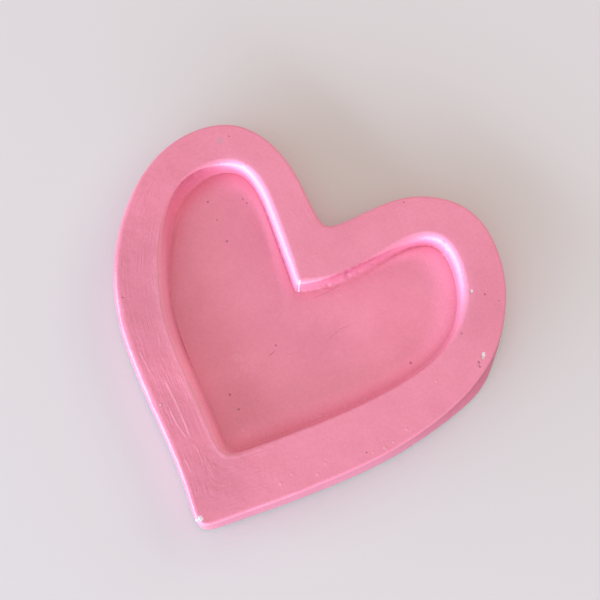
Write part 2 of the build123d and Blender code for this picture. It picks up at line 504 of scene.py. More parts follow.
def waves(places, length, seed, count=32):
    """Smooth random values at the places, with a spread of one.

    The sum of `count` cosine waves in seeded random directions, each near this length, over the
    square root of half their number."""
    rng = np.random.default_rng(seed)
    heading = rng.normal(size=(count, places.shape[-1]))
    heading /= np.linalg.norm(heading, axis=1, keepdims=True)
    pace = 2 * np.pi / (length * rng.uniform(0.7, 1.6, count))
    phase = rng.uniform(0, 2 * np.pi, count)
    return np.cos(places @ (heading * pace[:, None]).T + phase).sum(-1) / math.sqrt(count / 2)


def strokes(share, across, run, width, seed, count=36):
    """Random ridges that run round the heart, with a spread of one.

    The sum of cosine waves with a whole number of turns round the heart, up to one turn for each
    stretch of `run`, and a wavelength near `width` across it. `share` goes from 0 to 1 round the
    heart."""
    rng = np.random.default_rng(seed)
    turns = np.round(rng.uniform(-1, 1, count) / run)
    pace = 2 * np.pi / (width * rng.uniform(0.7, 2.2, count))
    phase = rng.uniform(0, 2 * np.pi, count)
    angle = share[..., None] * 2 * np.pi * turns + across[..., None] * pace + phase
    return np.cos(angle).sum(-1) / math.sqrt(count / 2)


def level_cut(node, height):
    """Where the level plane at this height cuts the node's faces, as complex numbers x + iy.

    Each cut edge from a to b gives a + (height - za) / (zb - za) times b - a."""
    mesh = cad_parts[node].data
    mesh.calc_loop_triangles()
    places = np.empty(len(mesh.vertices) * 3, np.float32)
    mesh.vertices.foreach_get("co", places)
    faces = np.empty(len(mesh.loop_triangles) * 3, np.int32)
    mesh.loop_triangles.foreach_get("vertices", faces)
    start = places.reshape(-1, 3).astype(float)[faces.reshape(-1, 3)]
    end = np.roll(start, -1, axis=1)
    cut = (start[..., 2] < height) != (end[..., 2] < height)
    start, end = start[cut], end[cut]
    share = (height - start[:, 2]) / (end[:, 2] - start[:, 2])
    return (start + share[:, None] * (end - start))[:, :2] @ [1, 1j]


def within(points, line, margin):
    """The points that lie further inside the line than the margin, as seen from the origin."""
    order = np.argsort(np.angle(line))
    reach = np.interp(np.angle(points), np.angle(line)[order], np.abs(line)[order], period=2 * np.pi)
    return points[np.abs(points) < reach - margin]


def heart_line(points):
    """A heart's outline at COLUMNS places, its inward directions, and how far each is from the notch.

    The points are put in order round the origin and spread evenly. The line is averaged, less at its
    corners than where it is gently curved, which takes out the facets. It starts at the notch, where
    it turns outwards most, and passes the tip, where it turns inwards most, half way. The columns
    crowd where the line turns. Places and directions are complex numbers."""
    ordered = points[np.argsort(-np.angle(points))]
    ordered = ordered[np.abs(ordered - np.roll(ordered, 1)) > 1e-7]
    ordered = np.append(ordered, ordered[0])
    run = np.concatenate([[0], np.cumsum(np.abs(np.diff(ordered)))])
    line = np.interp(np.arange(FINE_STEPS) / FINE_STEPS * run[-1], run, ordered)
    step = run[-1] / FINE_STEPS

    def bend(places):
        along = np.roll(places, -1) - np.roll(places, 1)
        return np.angle(np.roll(along, -1) / np.roll(along, 1)) / (2 * step)

    tight = np.abs(averaged(bend(averaged(line, 0.5 * MM / step)), 1.0 * MM / step).real)
    corner = smooth_step((tight - GENTLE_BEND) / (CORNER_BEND - GENTLE_BEND))
    corner = averaged(corner, 1.0 * MM / step).real
    line = (corner * averaged(line, CORNER_SMOOTHING / step)
            + (1 - corner) * averaged(line, SMOOTHING / step))
    turning = averaged(bend(line), TURN_SMOOTHING / step).real
    notch = np.argmax(turning)
    line, turning = np.roll(line, -notch), np.roll(turning, -notch)
    tip = np.argmin(turning)
    crowd = np.concatenate([[0], np.cumsum(1 + CROWDING * np.abs(turning))])
    half = COLUMNS // 2
    right = np.linspace(0, crowd[tip], half, endpoint=False)
    left = np.linspace(crowd[tip], crowd[-1], half, endpoint=False)
    at = np.interp(np.concatenate([right, left]), crowd, np.arange(FINE_STEPS + 1))
    along = averaged(np.roll(line, -1) - np.roll(line, 1), 0.2 * MM / step)
    inward = -1j * along / np.abs(along)
    line = np.interp(at, np.arange(FINE_STEPS + 1), np.append(line, line[0]))
    inward = np.interp(at, np.arange(FINE_STEPS + 1), np.append(inward, inward[0]))
    from_notch = np.minimum(at, FINE_STEPS - at) * step
    return line, inward / np.abs(inward), from_notch


def sharpened(line, inward, from_notch):
    """The line with a sharper notch, and directions that keep the notch's shape at any offset.

    Near the notch the direction is the mitre of its two flanks, their sum over one plus their dot
    product, and it fades to the inward direction beyond."""
    right = inward[np.argmax(from_notch > NOTCH_REACH)]
    left = inward[-np.argmax(from_notch[::-1] > NOTCH_REACH)]
    mitre = (right + left) / (1 + (right * left.conjugate()).real)
    near = 1 - smooth_step((from_notch - NOTCH_REACH) / NOTCH_FADE)
    heading = near * mitre + (1 - near) * inward
    return line - inward * NOTCH_SHARPENING + heading * NOTCH_SHARPENING, heading


def round_the_heart(sections, units):
    """The columns' values between the rows of sections, averaged over nine columns, in these units."""
    rows = np.array(sections)
    station = np.arange(COLUMNS) * 2 / COLUMNS
    values = [np.interp(station, rows[:, 0], column, period=2) for column in rows.T[1:]]
    return [averaged(value * unit, 9).real for value, unit in zip(values, units)]


def on_stretch(start, end, fade):
    """1 for the columns between two stations, 0 for the rest, with a fade at both ends."""
    station = np.arange(COLUMNS) * 2 / COLUMNS
    return smooth_step((station - start) / fade + 0.5) * smooth_step((end - station) / fade + 0.5)


def casting_lines(sizes):
    """The casting's outline at its base and the recess's at the rim, with their inward directions.

    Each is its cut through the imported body, moved along the wall that leans there."""
    outline, inward, _ = heart_line(level_cut(BODY_NODE, OUTLINE_CUT))
    recess_cut = within(level_cut(BODY_NODE, RECESS_CUT), outline, RIM_MARGIN)
    recess, recess_inward = sharpened(*heart_line(recess_cut))
    outline = outline - inward * sizes.wall_lean * (OUTLINE_CUT - BASE_Z) / (RIM_Z - BASE_Z)
    return outline, inward, recess - recess_inward * sizes.mouth_offset, recess_inward


def casting_grid(sizes):
    """Places of the casting's grid, rings by columns, and the ring slices of its zones.

    Every column is one section of the dish: in along the underside's line, a quarter circle at the
    base, the leaning wall, an elliptical quarter at the shoulder, a straight blend across the rim,
    a superellipse |x|^1.5 + |y|^1.5 = 1 at the mouth, the leaning recess wall, a quarter circle at
    its foot, and a blend to the middle of the floor, which rises to the wall as a parabola. Offsets
    are taken along the outline's inward direction."""
    outline, inward, recess, recess_inward = casting_lines(sizes)
    shift, edge, lean, foot = round_the_heart(RECESS_SECTIONS, [MM] * 4)
    shoulder_width, shoulder_height, flare, more_lean = round_the_heart(OUTER_SECTIONS, [MM] * 4)
    (floor_rise,) = round_the_heart(FLOOR_SECTIONS, [MM])
    recess = recess + recess_inward * shift
    wall_lean = sizes.wall_lean + more_lean
    depth = sizes.recess_depth - floor_rise
    base = sizes.base_rounding
    rings, heights = [], []

    def share(zone, closed=False):
        return np.linspace(0, 1, RINGS[zone], endpoint=closed)[:, None]

    def quarter(zone):
        return share(zone) * np.pi / 2

    def add(line, z):
        rings.append(line)
        heights.append(np.broadcast_to(z, line.shape))

    def outer(inset, z):
        add(outline + inward * (inset + wall_lean * (z - BASE_Z) / (RIM_Z - BASE_Z)), z)

    def inner(inset, z):
        add(recess + recess_inward * (inset + lean * (RIM_Z - z) / depth), z)

    base_edge = outline + inward * (base - flare)
    add(base_edge * (UNDERSIDE_POLE + (1 - UNDERSIDE_POLE) * share("underside")), BASE_Z)
    turn = quarter("base_edge")
    outer(base * (1 - np.sin(turn)) - flare, BASE_Z + base * (1 - np.cos(turn)))

    wall_top = RIM_Z - shoulder_height
    wall_z = BASE_Z + base + share("outer_wall") * (wall_top - BASE_Z - base)
    outer(-flare * (1 - smooth_step((wall_z - BASE_Z - base) / FLARE_HEIGHT)), wall_z)
    turn = quarter("shoulder")
    outer(shoulder_width * (1 - np.cos(turn)), wall_top + shoulder_height * np.sin(turn))

    rim_edge = outline + inward * (wall_lean + shoulder_width)
    across = share("rim")
    add(rim_edge * (1 - across) + (recess - recess_inward * edge) * across, RIM_Z)
    turn = quarter("mouth")
    inner(edge * (np.sin(turn) ** (4 / 3) - 1), RIM_Z - edge * (1 - np.cos(turn) ** (4 / 3)))

    inner(0, RIM_Z - edge - share("recess_wall") * (depth - edge - foot))
    turn = quarter("foot")
    inner(foot * (1 - np.cos(turn)), RIM_Z - depth + foot * (1 - np.sin(turn)))

    floor_line = recess + recess_inward * (lean + foot)
    middle = (1 - FLOOR_MIDDLE) * floor_line[0] + FLOOR_MIDDLE * floor_line[COLUMNS // 2]
    reach = 1 - (1 - FLOOR_POLE) * share("floor", closed=True) ** FLOOR_CROWDING
    inwards = np.abs(floor_line - middle) * (1 - reach)
    near = np.clip(1 - inwards / sizes.floor_dish, 0, None)
    add(middle + (floor_line - middle) * reach, RIM_Z - sizes.recess_depth + floor_rise * near**2)

    line = np.concatenate(rings)
    ends = np.cumsum(list(RINGS.values()))
    zones = {name: slice(end - RINGS[name], end) for name, end in zip(RINGS, ends)}
    return np.stack([line.real, line.imag, np.concatenate(heights)], axis=-1), zones


def grid_normals(grid):
    """Outward unit normals: the cross product of the step inwards and the step round the heart."""
    around = np.roll(grid, -1, axis=1) - np.roll(grid, 1, axis=1)
    normal = np.cross(np.gradient(grid, axis=0), around)
    return normal / np.maximum(np.linalg.norm(normal, axis=-1, keepdims=True), 1e-12)


def zone_mask(zones, weights):
    """One weight for each ring, from the zones' weights, averaged over seven rings."""
    mask = np.zeros(sum(RINGS.values()))
    for name, weight in weights.items():
        mask[zones[name]] = weight
    return np.convolve(np.pad(mask, 3, mode="edge"), np.ones(7) / 7, mode="valid")[:, None]


def roughen(grid, zones, sizes):
    """The grid moved along its normals by what the maker's hand left, and how far across it each
    ring is.

    The sum of slow waves, brush strokes that follow the heart, strokes dragged along the left wall,
    the rough wall beside the cleft, and each lump as height times (1 - r^2 / radius^2) squared."""
    share = np.broadcast_to(np.arange(COLUMNS) / COLUMNS, grid.shape[:2])
    steps = np.linalg.norm(np.diff(grid, axis=0), axis=-1).mean(1)
    across = np.concatenate([[0], np.cumsum(steps)])
    across_grid = np.broadcast_to(across[:, None], grid.shape[:2])

    move = sizes.unevenness * (0.7 * waves(grid, 26 * MM, 1) + 0.3 * waves(grid, 7 * MM, 2))
    move = move * zone_mask(zones, WAVE_ZONES)

    patchy = smooth_step(waves(grid, 14 * MM, 3) + 0.5)
    brushed = 0.25 + 0.75 * on_stretch(*BRUSHED_RIM)
    relief = strokes(share, across_grid, 0.05, 1.5 * MM, 4) * patchy * brushed
    move += sizes.brush_relief * relief * zone_mask(zones, STROKE_ZONES)

    on_wall = np.zeros(len(grid))
    on_wall[zones["recess_wall"].start:zones["floor"].start + 5] = 1
    on_wall = np.convolve(on_wall, np.ones(5) / 5, mode="same")[:, None]
    drag_and_painted_light = strokes(share, across_grid, 0.07, 1.0 * MM, 5) * (0.4 + 0.6 * patchy)
    move += DRAG_RELIEF * drag_and_painted_light * on_stretch(*DRAGGED_WALL) * on_wall

    rubble = 0.7 * (waves(grid, 3.0 * MM, 6) + waves(grid, 1.3 * MM, 7))
    rubble = rubble * on_stretch(*RUBBLE_WALL) * zone_mask(zones, RUBBLE_ZONES)
    move += 0.75 * sizes.raggedness * rubble
    torn = smooth_step(waves(grid, 2.5 * MM, 8)) * waves(grid, 1.1 * MM, 9)
    torn = torn * on_stretch(*TORN_WALL) * zone_mask(zones, TORN_ZONES)
    move += 0.6 * sizes.raggedness * torn

    lumpy = zone_mask(zones, LUMP_ZONES)
    for x, y, radius, rise in LUMPS:
        away = np.hypot(grid[..., 0] - x * MM, grid[..., 1] - y * MM) / (radius * MM)
        move += rise * MM * np.clip(1 - away**2, 0, None) ** 2 * lumpy

    moved = grid + grid_normals(grid) * move[..., None]
    low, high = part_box(BODY_NODE)
    return np.clip(moved, low, high), across


def grid_mesh(name, grid, uv):
    """A closed mesh from a grid that joins up round its columns, with a pole at each end of its rings.

    Corners (i, j), (i+1, j), (i+1, j+1), (i, j+1) make each face, and the end rings close as fans on
    their middles. The UV map has the columns' and the rings' distances as they are given."""
    rings, columns = grid.shape[:2]
    corner = np.arange(rings * columns).reshape(rings, columns)
    after = np.roll(corner, -1, axis=1)
    quads = np.stack([corner[:-1], corner[1:], after[1:], after[:-1]], axis=-1).reshape(-1, 4)
    poles = rings * columns + np.arange(2)
    first = np.stack([np.full(columns, poles[0]), corner[0], after[0]], axis=-1)
    last = np.stack([corner[-1], np.full(columns, poles[1]), after[-1]], axis=-1)
    places = np.concatenate([grid.reshape(-1, 3), [grid[0].mean(0), grid[-1].mean(0)]])
    mesh = bpy.data.meshes.new(name)
    mesh.from_pydata(places.tolist(), [], quads.tolist() + first.tolist() + last.tolist())

    u, v = uv
    ahead = np.append(u[1:], 2 * u[-1] - u[-2])
    middle = (u + ahead) / 2
    around = np.stack([u, u, ahead, ahead], axis=-1)[None] + np.zeros((rings - 1, 1, 1))
    up = np.stack([v[:-1], v[1:], v[1:], v[:-1]], axis=-1)[:, None] + np.zeros((1, columns, 1))
    corners = [
        np.stack([around, up], axis=-1),
        np.stack([np.stack([middle, u, ahead], axis=-1), np.full((columns, 3), v[0])], axis=-1),
        np.stack([np.stack([u, middle, ahead], axis=-1), np.full((columns, 3), v[-1])], axis=-1),
    ]
    corners = np.concatenate([part.reshape(-1, 2) for part in corners])
    layer = mesh.uv_layers.new(name="surface")
    layer.data.foreach_set("uv", corners.astype(np.float32).ravel())
    mesh.shade_smooth()
    return mesh


def distance_from(grid, ring):
    """How far each place is along its section from this ring, + inwards over the dish."""
    run = np.cumsum(np.linalg.norm(np.diff(grid, axis=0), axis=-1), axis=0)
    run = np.concatenate([np.zeros((1, COLUMNS)), run])
    return run - run[ring]


def gathered(distance, before, beyond, strength):
    """exp(-(distance / width)^2) with these widths on its two sides, times the columns' strengths."""
    return np.exp(-((distance / np.where(distance < 0, before, beyond)) ** 2)) * strength


def coat_marks(grid, zones):
    """Strengths of the coat's marks over the grid, by name, painted shade and light among them."""
    foot = distance_from(grid, zones["foot"].stop - 2)
    lip = distance_from(grid, zones["recess_wall"].start)
    shoulder = distance_from(grid, zones["shoulder"].start)
    (foot_line,) = round_the_heart(CREASE_SHADE_SECTIONS, [1])
    lip_line, lip_up, lip_down = round_the_heart(LIP_SHADE_SECTIONS, [1, MM, MM])
    (side_shade_line,) = round_the_heart(SIDE_SHADE_SECTIONS, [1])
    round_it = 0.2 + 0.8 * on_stretch(*BRUSHED_COAT)
    marks = {
        "brushed": zone_mask(zones, GLOSS_STROKE_ZONES) * round_it,
        # Painted shade: dark lines at the foot of the recess wall and under its mouth
        "painted_crease_shade": np.maximum(gathered(foot, 0.7 * MM, 0.4 * MM, foot_line),
                             gathered(lip, lip_up, lip_down, lip_line)),
        # Painted shade down the outer wall below the shoulder
        "side": gathered(shoulder, 14 * MM, 0.5 * MM, side_shade_line),
    }
    for name, inwards, before, beyond, sections in FOOT_MARKS:
        (strength,) = round_the_heart(sections, [1])
        marks[name] = gathered(foot - inwards * MM, before * MM, beyond * MM, strength)
    return marks


def add_values(mesh, name, values):
    """Stores one value for each grid place, and the end rings' means at the two poles."""
    layer = mesh.attributes.new(name, "FLOAT", "POINT")
    places = np.concatenate([values.ravel(), [values[0].mean(), values[-1].mean()]])
    layer.data.foreach_set("value", places.astype(np.float32))


def add_object(name, data):
    """A new object in the scene."""
    thing = bpy.data.objects.new(name, data)
    bpy.context.scene.collection.objects.link(thing)
    return thing


def add_piece(name, mesh, material, node):
    """A new piece with this material, which stands for a CAD node and rides on its body."""
    piece = add_object(name, mesh)
    mesh.materials.append(material)
    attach(piece, BODY)
    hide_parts(node)
    return piece


# ---- Materials ----


def tinted(colour, factors):
    """The colour with its red, green and blue multiplied by the factors, up to 1."""
    return tuple(min(1, part * factor) for part, factor in zip(colour, factors))


class Shading:
    """Adds nodes to a new material and joins them. Inputs may be numbers, colours or other sockets."""

    def __init__(self, name):
        self.material = bpy.data.materials.new(name)
        self.material.use_nodes = True
        self.tree = self.material.node_tree
        self.surface = self.tree.nodes["Principled BSDF"]

    def add(self, kind, inputs, output=0, **settings):
        """A new node's output."""
        node = self.tree.nodes.new("ShaderNode" + kind)
        for key, value in settings.items():
            setattr(node, key, value)
        self.fill(node, inputs)
        return node.outputs[output]

    def fill(self, node, inputs):
        """Links or sets a node's inputs."""
        for key, value in inputs.items():
            if isinstance(value, bpy.types.NodeSocket):
                self.tree.links.new(value, node.inputs[key])
            elif hasattr(value, "__len__") and node.inputs[key].type == "RGBA":
                node.inputs[key].default_value = (*value[:3], 1)
            else:
                node.inputs[key].default_value = value

    def place(self):
        """The place on the piece in metres."""
        return self.add("TexCoord", {}, output="Object")

    def stored(self, name):
        """A value kept on the mesh."""
        return self.add("Attribute", {}, output="Fac", attribute_name=name)

    def stretched(self, vector, scale):
        """The vector with its X, Y and Z multiplied by the scale."""
        return self.add("Mapping", {"Vector": vector, "Scale": scale})

    def noise(self, vector, scale, detail=2.0, roughness=0.5, distortion=0.0, output=0):
        """Smooth noise from 0 to 1, about `scale` lumps for each unit of the vector."""
        inputs = {"Vector": vector, "Scale": scale, "Detail": detail, "Roughness": roughness,
                  "Distortion": distortion}
        return self.add("TexNoise", inputs, output)

    def between(self, value, low, high, start=0.0, end=1.0):
        """The start where the value is up to low, the end from high on, and smooth in between."""
        inputs = {"Value": value, "From Min": low, "From Max": high, "To Min": start, "To Max": end}
        return self.add("MapRange", inputs, interpolation_type="SMOOTHSTEP")

    def sums(self, operation, *values):
        """One step of arithmetic."""
        return self.add("Math", dict(enumerate(values)), operation=operation)

    def times(self, first, second):
        """The first value times the second."""
        return self.sums("MULTIPLY", first, second)

    def less(self, first, second):
        """The first value less the second."""
        return self.sums("SUBTRACT", first, second)

    def most(self, values):
        """The largest of the values."""
        found = values[0]
        for value in values[1:]:
            found = self.sums("MAXIMUM", found, value)
        return found

    def vectors(self, operation, first, second, output=0):
        """One step of arithmetic on two vectors."""
        return self.add("VectorMath", {0: first, 1: second}, output, operation=operation)

    def scaled(self, vector, scale):
        """The vector or colour times one number."""
        return self.add("VectorMath", {0: vector, "Scale": scale}, operation="SCALE")

    def blend(self, factor, under, over):
        """The colour under, covered by the colour over as far as the factor says."""
        return self.add("Mix", {0: factor, 6: under, 7: over}, output=2, data_type="RGBA")

    def spot(self, place, centre, radius, edge=0.6):
        """1 within the radius of the centre, fading out to 0 at the radius times 1 + edge.

        The centre and the radius are in millimetres."""
        away = self.vectors("DISTANCE", place, tuple(part * MM for part in centre), "Value")
        return self.between(away, radius * MM * (1 + edge), radius * MM)

    def hair(self, place, start, end, bow, width):
        """1 along a thin bowed line from start to end, all in millimetres, and 0 beside it.

        A place is |v - 4 bow u (1 - u)| off the line, with u its share of the way along and v its
        distance across."""
        run = (end[0] - start[0], end[1] - start[1])
        length = math.hypot(*run)
        from_start = self.vectors("SUBTRACT", place, (start[0] * MM, start[1] * MM, 0))
        ahead = (run[0] / length**2 / MM, run[1] / length**2 / MM, 0)
        aside = (-run[1] / length / MM, run[0] / length / MM, 0)
        u = self.vectors("DOT_PRODUCT", from_start, ahead, "Value")
        v = self.vectors("DOT_PRODUCT", from_start, aside, "Value")
        arch = self.times(u, self.less(1.0, u))
        off = self.sums("ABSOLUTE", self.less(v, self.times(arch, 4.0 * bow)))
        return self.times(self.between(off, width, width * 0.3), self.between(arch, 0.0, 0.12))

    def bumped(self, height, distance, below=None):
        """The normal over a relief of this height in metres, on top of the normal below."""
        inputs = {"Height": height, "Distance": distance}
        if below is not None:
            inputs["Normal"] = below
        return self.add("Bump", inputs)


class Coat(Shading):
    """Semi-gloss paint over a white casting, with strokes, pin-holes, chips and a bare underside.

    Colour, gloss and relief share the patterns and marks that are made first."""

    def __init__(self, sizes):
        super().__init__("painted_plaster")
        self.sizes = sizes
        self.at = self.place()
        x, y, self.z = (self.add("SeparateXYZ", {"Vector": self.at}, output=k) for k in range(3))
        self.flat = self.add("CombineXYZ", {"X": x, "Y": y})
        self.marks = {name: self.stored(name) for name in MARKS}
        self.add_patterns()
        self.add_dust()
        self.add_bare_places()
        self.add_small_marks()
        self.surface.inputs["Coat Roughness"].default_value = 0.31
        relief = self.relief()
        self.fill(self.surface, {
            "Base Color": self.colour(),
            "Roughness": self.roughness(),
            "Normal": relief,
            "Coat Normal": relief,
            "Coat Weight": self.gloss(),
        })

    def dot(self, x, y, radius, edge):
        """A spot at x, y in millimetres, at whatever height the surface is there."""
        return self.spot(self.flat, (x, y, 0), radius, edge)

    def add_patterns(self):
        """Strokes that lie along the heart, ripples of wet paint between them, and plain noises."""
        surface = self.add("UVMap", {}, uv_map="surface")
        self.long_strokes = self.noise(self.stretched(surface, (60, 1100, 1)), 1.0, 3, 0.6, 0.4)
        self.fine_strokes = self.noise(self.stretched(surface, (150, 3000, 1)), 1.0, 2, 0.5, 0.2)
        self.ripples = self.noise(self.stretched(surface, (420, 900, 1)), 1.0, 2, 0.5, 0.6)
        self.grain = self.noise(self.at, 900, 3, 0.6)
        self.skin = self.noise(self.at, 1400, 3, 0.6)
        self.patches = self.noise(self.at, 60, 3, 0.55)

    def add_dust(self):
        """Grains of dust under the paint, one in some of the cells of a pattern, and beads of paint."""
        normal = self.add("TexCoord", {}, output="Normal")
        upward = self.add("SeparateXYZ", {"Vector": normal}, output=2)
        self.level = self.between(upward, 0.75, 0.92)
        cells = {"Vector": self.flat, "Scale": 330.0}
        away = self.add("TexVoronoi", cells, output="Distance", voronoi_dimensions="2D")
        chance = self.add("TexVoronoi", cells, output="Color", voronoi_dimensions="2D")
        pick = self.add("SeparateColor", {"Color": chance})
        dust = self.times(self.between(away, 0.07, 0.02), self.between(pick, 0.72, 0.80))
        specks = [self.dot(x, y, 0.5 * radius, 1.9) for x, y, radius in SPECKS]
        dust = self.times(self.most([dust] + specks), self.level)
        apart = self.add("TexVoronoi", {"Vector": self.at, "Scale": 800.0}, output="Distance")
        beads = self.times(self.marks["beads"], self.between(apart, 0.30, 0.10))
        self.grains = self.most([dust, beads])

    def add_bare_places(self):
        """Bare casting: the underside inside a ragged line of paint, and the chips."""
        tear = self.noise(self.at, 1100.0, 3.0, output="Color")
        tear = self.vectors("SUBTRACT", tear, (0.5, 0.5, 0.5))
        self.torn = self.vectors("ADD", self.at, self.scaled(tear, 0.9 * MM))
        chips = [self.spot(self.torn, (x, y, z), radius, 0.12) for x, y, z, radius in CHIPS]
        edge = self.sums("ADD", self.z, self.times(self.less(self.patches, 0.5), 0.3 * MM))
        under = self.between(edge, BASE_Z + 0.16 * MM, BASE_Z + 0.10 * MM)
        self.bare = self.sums("MAXIMUM", self.most(chips), under)

    def add_small_marks(self):
        """Pin-holes, hairs, and raised strokes of thick paint."""
        holes = [self.dot(*hole, 0.5) for hole in PIN_HOLES]
        self.hole = self.times(self.most(holes), self.level)
        hairs = self.most([self.hair(self.flat, *line) for line in HAIRS])
        self.hairs = self.times(hairs, self.between(self.z, BASE_Z + 1.0 * MM, BASE_Z + 2.0 * MM))
        ridges = [self.times(self.hair(self.flat, *line), strength) for *line, strength in RIDGES]
        near_rim = self.between(self.z, RIM_Z - 1.5 * MM, RIM_Z - 0.8 * MM)
        self.ridge = self.times(self.most(ridges), near_rim)

    def colour(self):
        """The paint's colour under its layers of marks, and the plaster's where it is bare."""
        paint, marks = self.sizes.paint, self.marks
        colour = self.blend(self.between(self.patches, 0.3, 0.7),
                            tinted(paint, DEEP), tinted(paint, LIGHT))
        mottle = self.between(self.noise(self.stretched(self.at, (1, 0.6, 1)), 1100, 3, 0.7), 0.5, 0.66)
        rubbed = self.times(self.dot(*RUBBED_SPOT, 1.2), mottle)
        layers = [
            (self.times(marks["brushed"], 0.6), tinted(paint, BRUSHED)),
            # Painted reflected light on the floor beside the walls
            (marks["painted_reflection"], PAINTED_REFLECTION),
            # Painted highlight on the steep walls that face the window
            (marks["painted_wall_highlight"], WALL_HIGHLIGHT),
            # Painted light on the left recess wall
            (marks["drag_and_painted_light"], PAINTED_WALL_LIGHT),
            (self.times(rubbed, 0.16), RUBBED),
            # Painted shade, tinted red, at the foot of the recess wall
            (self.times(marks["painted_red_shade"], self.between(self.patches, 0.2, 0.8, 0.45, 0.75)),
             tinted(paint, RED_SHADE)),
            # Painted shade at the foot of the recess wall and under its mouth
            (self.times(marks["painted_crease_shade"], self.between(self.grain, 0.3, 0.7, 0.55, 1.0)),
             tinted(paint, CREASE_SHADE)),
            # Painted shade down the outer wall
            (self.times(marks["side"], self.between(self.patches, 0.2, 0.8, 0.75, 0.95)),
             tinted(paint, SIDE_SHADE)),
        ]
        # A smudge, and painted shade in a hollow
        for *centre, radius, strength, shade in SMUDGES_AND_HOLLOW_SHADE:
            smudge_and_shade = self.spot(self.torn, centre, radius, 1.0)
            layers.append((self.times(smudge_and_shade, strength), shade))
        layers += [
            (self.times(self.grains, 0.16), DUSTY),
            # Painted highlight on the raised strokes of the rim
            (self.times(self.ridge, 0.65), RIDGE_HIGHLIGHT),
            # Painted highlight down the cleft's upright edge
            (self.times(self.hair(self.flat, *EDGE_HIGHLIGHT_LINE), 0.75), EDGE_HIGHLIGHT),
            # Painted shadow along the raised hairs
            (self.times(self.hairs, 0.3), HAIR_SHADOW),
            # Painted shade in the pin-holes
            (self.times(self.hole, 0.55), PIN_HOLE_SHADE),
        ]
        for strength, shade in layers:
            colour = self.blend(strength, colour, shade)
        depth = self.between(self.skin, 0.3, 0.7, 0.96, 1.035)
        for x, y, radius, darkening in PATCHES:
            depth = self.less(depth, self.times(self.dot(x, y, 0.2 * radius, 4.0), darkening))
        colour = self.scaled(colour, depth)
        plaster = self.sizes.plaster
        plaster = self.blend(self.between(self.grain, 0.35, 0.7), tinted(plaster, STAINED), plaster)
        return self.blend(self.bare, colour, plaster)

    def roughness(self):
        """The paint's own roughness, uneven in patches and strokes, and more where it is dull."""
        own = self.sizes.paint_roughness
        patchy = self.between(self.patches, 0.3, 0.7, own - 0.04, own + 0.05)
        rough = self.sums("ADD", patchy, self.between(self.fine_strokes, 0.3, 0.7, -0.03, 0.03))
        dull = self.sums("MAXIMUM", self.bare, self.marks["side"])
        return self.add("Mix", {0: dull, 2: rough, 3: 0.85})

    def relief(self):
        """Strokes that come and go, the paint's skin, dust, hairs, ridges, holes and chips."""
        comes_and_goes = self.between(self.noise(self.at, 110, 2, 0.5), 0.35, 0.65, 0.25, 1.0)
        brushed = self.times(self.marks["brushed"], comes_and_goes)
        normal = None
        for height, rise in (
                (self.times(self.long_strokes, brushed), 0.12),
                (self.times(self.ripples, brushed), 0.12),
                (self.times(self.fine_strokes, brushed), 0.03),
                (self.skin, 0.018),
                (self.grains, 0.06),
                (self.hairs, 0.05),
                (self.ridge, 0.06),
                (self.less(1.0, self.hole), 0.2),
                (self.less(self.times(self.grain, 0.3), self.bare), 0.12)):
            normal = self.bumped(height, rise * MM, below=normal)
        return normal

    def gloss(self):
        """How much of the glossy skin is left: none on bare plaster and where the coat is dull."""
        marks = self.marks
        dull = [marks["painted_crease_shade"], self.bare, marks["side"], self.times(marks["painted_red_shade"], 0.8),
                self.times(marks["drag_and_painted_light"], 0.4)]
        return self.less(1.0, self.most(dull))


def felt(sizes):
    """Pressed felt: tangled fibres with painted shade in their hollows, in clumps."""
    s = Shading("pressed_felt")
    place = s.place()
    fibres = s.noise(s.stretched(place, (1, 1, 2)), 2500, 4, 0.7, 1.5)
    clumps = s.between(s.noise(place, 600, 2, 0.5), 0.3, 0.8, 0.0, 0.35)
    # Painted shade in the hollows of the fibres' relief
    colour = s.blend(s.between(fibres, 0.35, 0.65), tinted(sizes.felt, FELT_HOLLOW_SHADE), sizes.felt)
    colour = s.blend(clumps, colour, tinted(sizes.felt, CLUMPED))
    s.surface.inputs["Roughness"].default_value = 0.95
    s.surface.inputs["Sheen Weight"].default_value = 0.3
    s.surface.inputs["Sheen Roughness"].default_value = 0.5
    s.fill(s.surface, {"Base Color": colour, "Normal": s.bumped(fibres, 0.1 * MM)})
    return s.material


def plain(name, colour, roughness):
    """A plain even finish for the floor."""
    s = Shading(name)
    s.fill(s.surface, {"Base Color": tuple(colour), "Roughness": roughness})
    return s.material


# ---- Operators ----


class DISH_OT_casting(bpy.types.Operator):
    """Builds the painted casting over the body's outlines"""

    bl_idname = "dish.casting"
    bl_label = "Painted Casting"

    def execute(self, context):
        sizes = context.scene.dish_casting
        smooth, zones = casting_grid(sizes)
        grid, across = roughen(smooth, zones, sizes)
        steps = np.linalg.norm(np.diff(grid[zones["rim"]].mean(0), axis=0), axis=-1)
        around = np.concatenate([[0], np.cumsum(steps)])
        mesh = grid_mesh("dish_casting", grid, (around, across))
        for name, values in coat_marks(smooth, zones).items():
            add_values(mesh, name, values)
        add_piece("dish_casting", mesh, Coat(sizes).material, BODY_NODE)
        return {"FINISHED"}


